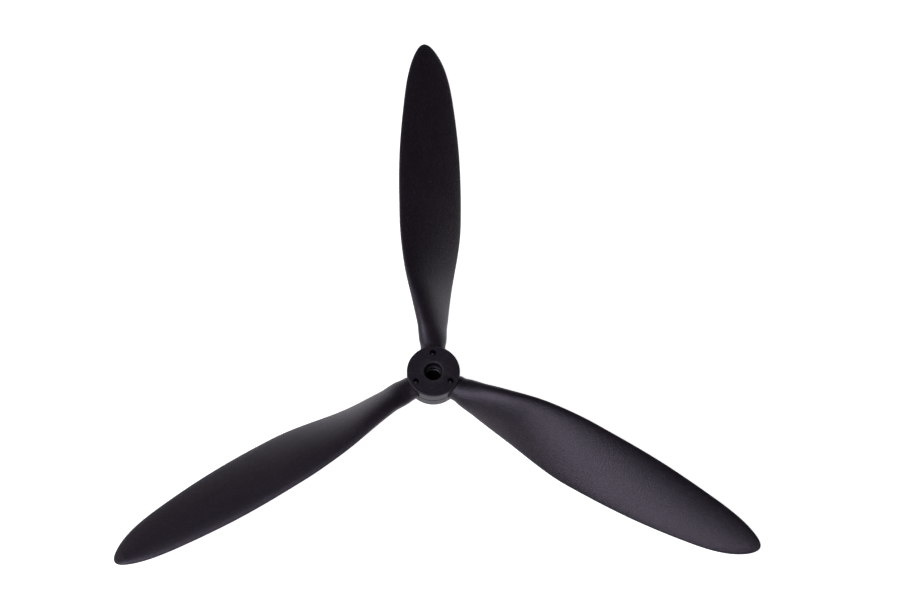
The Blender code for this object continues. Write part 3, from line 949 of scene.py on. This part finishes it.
def turned_lines():
    """Group: fine tool lines of a turned metal face, as a one-way noise of the distance from
    the piece's own axis."""
    tree, given, out = group_tree(
        "turned_lines",
        [("Place", "Vector", None), ("Lines", "Float", 9000.0)],
        [("Height", "Float"), ("Tone", "Float")],
    )
    flat = add_node(tree, "ShaderNodeVectorMath", {0: given["Place"], 1: (1, 1, 0)}, operation="MULTIPLY")
    radius = add_node(tree, "ShaderNodeVectorMath", {0: flat.outputs[0]}, operation="LENGTH")
    lines = add_node(
        tree, "ShaderNodeTexNoise", {"W": radius.outputs["Value"], "Scale": given["Lines"], "Detail": 2.0},
        noise_dimensions="1D",
    )
    cloud = add_node(
        tree, "ShaderNodeTexNoise", {"Vector": given["Place"], "Scale": 1400.0, "Detail": 3.0}
    )
    tree.links.new(lines.outputs[0], out.inputs["Height"])
    tree.links.new(cloud.outputs[0], out.inputs["Tone"])
    return tree


def shared(build):
    """The node group that a function builds, built once."""
    return bpy.data.node_groups.get(build.__name__) or build()


def use_group(tree, build, inputs):
    """A shared group placed in a material with its own values."""
    made = tree.nodes.new("ShaderNodeGroup")
    made.node_tree = shared(build)
    for key, value in inputs.items():
        if isinstance(value, bpy.types.NodeSocket):
            tree.links.new(value, made.inputs[key])
        else:
            made.inputs[key].default_value = value
    return made.outputs


def new_material(name, view_colour):
    """A material, its tree, its shader and the piece's own place and edge."""
    material = bpy.data.materials.new(name)
    material.use_nodes = True
    material.diffuse_color = (*view_colour, 1)
    tree = material.node_tree
    place = add_node(tree, "ShaderNodeAttribute", attribute_name="own_place").outputs["Vector"]
    edge = add_node(tree, "ShaderNodeAttribute", attribute_name="own_edge").outputs["Fac"]
    return material, tree, tree.nodes["Principled BSDF"], place, edge


def nylon_material(scene, name, base, roughness, depth):
    """Fibre-filled nylon: near black, with fine grain, faint fibres and duller rubbed edges."""
    finish = scene.prop_finish
    material, tree, shader, place, edge = new_material(name, base)
    grain = use_group(tree, moulded_grain, {"Place": place, "Grain": 1 / finish.grain, "Flow": 160.0})
    fleck = use_group(tree, fibre_fleck, {"Place": place, "Scale": 1.3 / finish.grain, "Start": 0.60})
    wear = use_group(tree, edge_wear, {"Place": place, "Edge": edge, "Patch": 900.0})
    dark = tuple(0.8 * part for part in base)
    body = mixed(tree, ranged(tree, grain["Flow"], 0.3, 0.7, 0.0, 1.0), (*dark, 1), (*base, 1))
    fleck_share = math_node(tree, "MULTIPLY", fleck["Fleck"], 0.35)
    flecked = mixed(tree, fleck_share, body, (*finish.fibre, 1))
    wear_share = math_node(tree, "MULTIPLY", wear["Wear"], 0.5)
    tree.links.new(mixed(tree, wear_share, flecked, (*finish.rubbed, 1)), shader.inputs["Base Color"])
    rough = ranged(tree, grain["Height"], 0.3, 1.0, roughness - 0.05, roughness + 0.05)
    worn = math_node(tree, "MULTIPLY_ADD", wear["Wear"], 0.08, rough)
    tree.links.new(worn, shader.inputs["Roughness"])
    bump = add_node(
        tree, "ShaderNodeBump", {"Strength": depth, "Distance": 0.14 * MM, "Height": grain["Height"]}
    )
    tree.links.new(bump.outputs[0], shader.inputs["Normal"])
    shader.inputs["IOR"].default_value = 1.5
    shader.inputs["Specular Tint"].default_value = (1.0, 0.89, 1.0, 1.0)
    return material


def metal_material(scene, name, base, roughness):
    """Turned metal: tool lines round the piece's axis, cloudy tone and brighter rubbed edges."""
    material, tree, shader, place, edge = new_material(name, base)
    lines = use_group(tree, turned_lines, {"Place": place, "Lines": 9000.0})
    wear = use_group(tree, edge_wear, {"Place": place, "Edge": edge, "Patch": 2500.0})
    dark = tuple(0.72 * part for part in base)
    bright = tuple(min(1.0, 1.5 * part) for part in base)
    body = mixed(tree, ranged(tree, lines["Tone"], 0.3, 0.7, 0.0, 1.0), (*dark, 1), (*base, 1))
    tree.links.new(mixed(tree, wear["Wear"], body, (*bright, 1)), shader.inputs["Base Color"])
    rough = ranged(tree, lines["Tone"], 0.3, 0.7, roughness - 0.07, roughness + 0.07)
    tree.links.new(rough, shader.inputs["Roughness"])
    bump = add_node(
        tree, "ShaderNodeBump", {"Strength": 0.3, "Distance": 0.02 * MM, "Height": lines["Height"]}
    )
    tree.links.new(bump.outputs[0], shader.inputs["Normal"])
    shader.inputs["Metallic"].default_value = 1.0
    return material


def floor_material(scene):
    """Matt pale floor with a faint even glow, and a broad mottle too soft to draw the eye."""
    finish, stage = scene.prop_finish, scene.prop_stage
    material = bpy.data.materials.new("floor_paper")
    material.use_nodes = True
    tree = material.node_tree
    shader = tree.nodes["Principled BSDF"]
    place = tree.nodes.new("ShaderNodeTexCoord").outputs["Object"]
    mottle = add_node(tree, "ShaderNodeTexNoise", {"Vector": place, "Scale": 9.0, "Detail": 3.0})
    dark = tuple(0.97 * part for part in finish.floor)
    tone = mixed(tree, mottle.outputs[0], (*dark, 1), (*finish.floor, 1))
    tree.links.new(tone, shader.inputs["Base Color"])
    shader.inputs["Roughness"].default_value = 0.9
    shader.inputs["Specular IOR Level"].default_value = 0.1
    shader.inputs["Emission Color"].default_value = (1, 1, 1, 1)
    seen = tree.nodes.new("ShaderNodeLightPath").outputs["Is Camera Ray"]
    glow = ranged(tree, seen, 0, 1, stage.floor_glow, stage.floor_seen)
    tree.links.new(glow, shader.inputs["Emission Strength"])
    return material


# Stage -----------------------------------------------------------------------------------


def make_floor(scene):
    """A round floor just under the lowest point: rings whose radius grows as a square."""
    low = cad_box[0].z - 0.05 * MM
    radius = scene.prop_stage.floor_reach * np.linspace(0.05, 1, 24) ** 2
    grid = revolve(np.column_stack([radius, np.full(24, low)]), 96)
    rows, columns = grid.shape[:2]
    points = np.concatenate([grid.reshape(-1, 3), [(0, 0, low)]])
    faces = quads(rows, columns)[:, ::-1].tolist() + fan(0, columns, rows * columns, True).tolist()
    mesh = bpy.data.meshes.new("floor")
    mesh.from_pydata(points.tolist(), [], faces)
    mesh.materials.append(floor_material(scene))
    add_object("floor", mesh)


def make_riser(scene):
    """A low, near-black turned disc just under the hub: painted shade, which keeps what shows through the
    shaft's bore dark.
    """
    low, high = cad_box[0].z, -0.1 * MM
    profile = [(7.9 * MM, high), (8.2 * MM, high - 0.3 * MM), (8.4 * MM, low)]
    grid = revolve(profile, 96)
    mesh = capped_mesh("painted_shade_disc", grid, (0, 0, high), (0, 0, low))
    material = bpy.data.materials.new("painted_shade_black")
    material.use_nodes = True
    tree = material.node_tree
    shader = tree.nodes["Principled BSDF"]
    place = tree.nodes.new("ShaderNodeTexCoord").outputs["Object"]
    grain = use_group(tree, moulded_grain, {"Place": place, "Grain": 3000.0, "Flow": 200.0})
    # Near-black painted shade, with a faint mottle from the grain.
    tone = mixed(tree, grain["Flow"], (0.002, 0.002, 0.002, 1), (0.004, 0.004, 0.004, 1))
    tree.links.new(tone, shader.inputs["Base Color"])
    shader.inputs["Roughness"].default_value = 0.9
    shader.inputs["Specular IOR Level"].default_value = 0.1
    mesh.materials.append(material)
    add_object("painted_shade_disc", mesh)


def add_softbox(name, direction, distance, side, power, tint=(1, 1, 1)):
    """A square light that faces the hub from a direction."""
    light = bpy.data.lights.new(name, "AREA")
    light.shape = "SQUARE"
    light.size = side
    light.energy = power
    light.color = tint
    obj = add_object(name, light)
    toward = Vector(direction).normalized()
    obj.location = toward * distance
    obj.rotation_euler = toward.to_track_quat("Z", "Y").to_euler()


def make_lights(scene):
    """One large softbox over the front left, a small fill and a low side light, in a room that
    is light low down and dark above, and that looks as pale as the floor."""
    stage = scene.prop_stage
    reach = stage.box_reach
    cool = (0.86, 0.88, 1.0)
    add_softbox("softbox", (-0.41, -0.38, 0.83), reach, stage.box_side, stage.box_power, cool)
    add_softbox("fill", (0.50, -0.50, 0.70), reach, 0.4, stage.fill_power)
    add_softbox("side_light", (-0.85, 0.30, 0.30), reach, 0.6, stage.side_power)
    world = bpy.data.worlds.new("room")
    world.use_nodes = True
    scene.world = world
    tree = world.node_tree
    direction = tree.nodes.new("ShaderNodeTexCoord").outputs["Generated"]
    height = add_node(tree, "ShaderNodeSeparateXYZ", {0: direction}).outputs[2]
    shone = ranged(tree, height, 0.02, 0.25, stage.sky, 0.02)
    seen = tree.nodes.new("ShaderNodeLightPath").outputs["Is Camera Ray"]
    strength = ranged(tree, seen, 0, 1, shone, stage.floor_seen)
    tree.links.new(strength, tree.nodes["Background"].inputs["Strength"])
    tree.nodes["Background"].inputs["Color"].default_value = (1, 1, 1, 1)


def make_camera(scene):
    """The camera: tilted from straight down, swung about the shaft and rolled about its view,
    then drawn back and shifted in its own plane."""
    stage = scene.prop_stage
    data = bpy.data.cameras.new("camera")
    data.lens = stage.lens
    data.sensor_width = 36
    data.clip_start = 0.01
    data.clip_end = 100
    camera = add_object("camera", data)
    camera.matrix_world = (
        Matrix.Translation((0, 0, -stage.aim_drop))
        @ Matrix.Rotation(-stage.swing, 4, "Z")
        @ Matrix.Rotation(stage.tilt, 4, "X")
        @ Matrix.Rotation(-stage.roll, 4, "Z")
        @ Matrix.Translation((stage.aim_right, stage.aim_up, stage.distance))
    )
    scene.camera = camera


# Operators and panel ---------------------------------------------------------------------


class PROPELLER_OT_hub(bpy.types.Operator):
    """Make the two halves of the hub"""

    bl_idname = "propeller.hub"
    bl_label = "Hub"

    def execute(self, context):
        make_hub(context.scene)
        return {"FINISHED"}


class PROPELLER_OT_blades(bpy.types.Operator):
    """Make the three blades"""

    bl_idname = "propeller.blades"
    bl_label = "Blades"

    def execute(self, context):
        make_blades(context.scene)
        return {"FINISHED"}


class PROPELLER_OT_bush(bpy.types.Operator):
    """Make the bush that takes the shaft"""

    bl_idname = "propeller.bush"
    bl_label = "Bush"

    def execute(self, context):
        make_bush(context.scene)
        return {"FINISHED"}


class PROPELLER_OT_fasteners(bpy.types.Operator):
    """Make the screws and nuts that clamp the hub"""

    bl_idname = "propeller.fasteners"
    bl_label = "Screws and Nuts"

    def execute(self, context):
        make_fasteners(context.scene)
        return {"FINISHED"}


class PROPELLER_OT_stage(bpy.types.Operator):
    """Make the floor, the lights and the camera"""

    bl_idname = "propeller.stage"
    bl_label = "Stage"

    def execute(self, context):
        make_floor(context.scene)
        # A dark disc under the hub: painted shade for what shows through the bore.
        make_riser(context.scene)
        make_lights(context.scene)
        make_camera(context.scene)
        context.scene.view_settings.view_transform = "Standard"
        return {"FINISHED"}


OPERATORS = (
    PROPELLER_OT_hub,
    PROPELLER_OT_blades,
    PROPELLER_OT_bush,
    PROPELLER_OT_fasteners,
    PROPELLER_OT_stage,
)


class PROPELLER_PT_panel(bpy.types.Panel):
    """Lists the pieces and the stage"""

    bl_label = "Propeller"
    bl_idname = "PROPELLER_PT_panel"
    bl_space_type = "VIEW_3D"
    bl_region_type = "UI"
    bl_category = "Propeller"

    def draw(self, context):
        for operator in OPERATORS:
            self.layout.operator(operator.bl_idname)


SIZE_GROUPS = {
    "prop_hub": HubSizes,
    "prop_blade": BladeSizes,
    "prop_bush": BushSizes,
    "prop_fastener": FastenerSizes,
    "prop_finish": Finishes,
    "prop_stage": StageSizes,
}


def register():
    """Registers every class, and gives the scene its sizes."""
    for group in (*SIZE_GROUPS.values(), *OPERATORS, PROPELLER_PT_panel):
        bpy.utils.register_class(group)
    for name, group in SIZE_GROUPS.items():
        setattr(bpy.types.Scene, name, PointerProperty(type=group))


def unregister():
    """Takes back what register gave."""
    for name in SIZE_GROUPS:
        delattr(bpy.types.Scene, name)
    for group in (PROPELLER_PT_panel, *reversed(OPERATORS), *reversed(SIZE_GROUPS.values())):
        bpy.utils.unregister_class(group)


def main():
    """Makes every piece and the stage."""
    register()
    bpy.ops.propeller.hub()
    bpy.ops.propeller.blades()
    bpy.ops.propeller.bush()
    bpy.ops.propeller.fasteners()
    bpy.ops.propeller.stage()


if __name__ == "__main__":
    main()
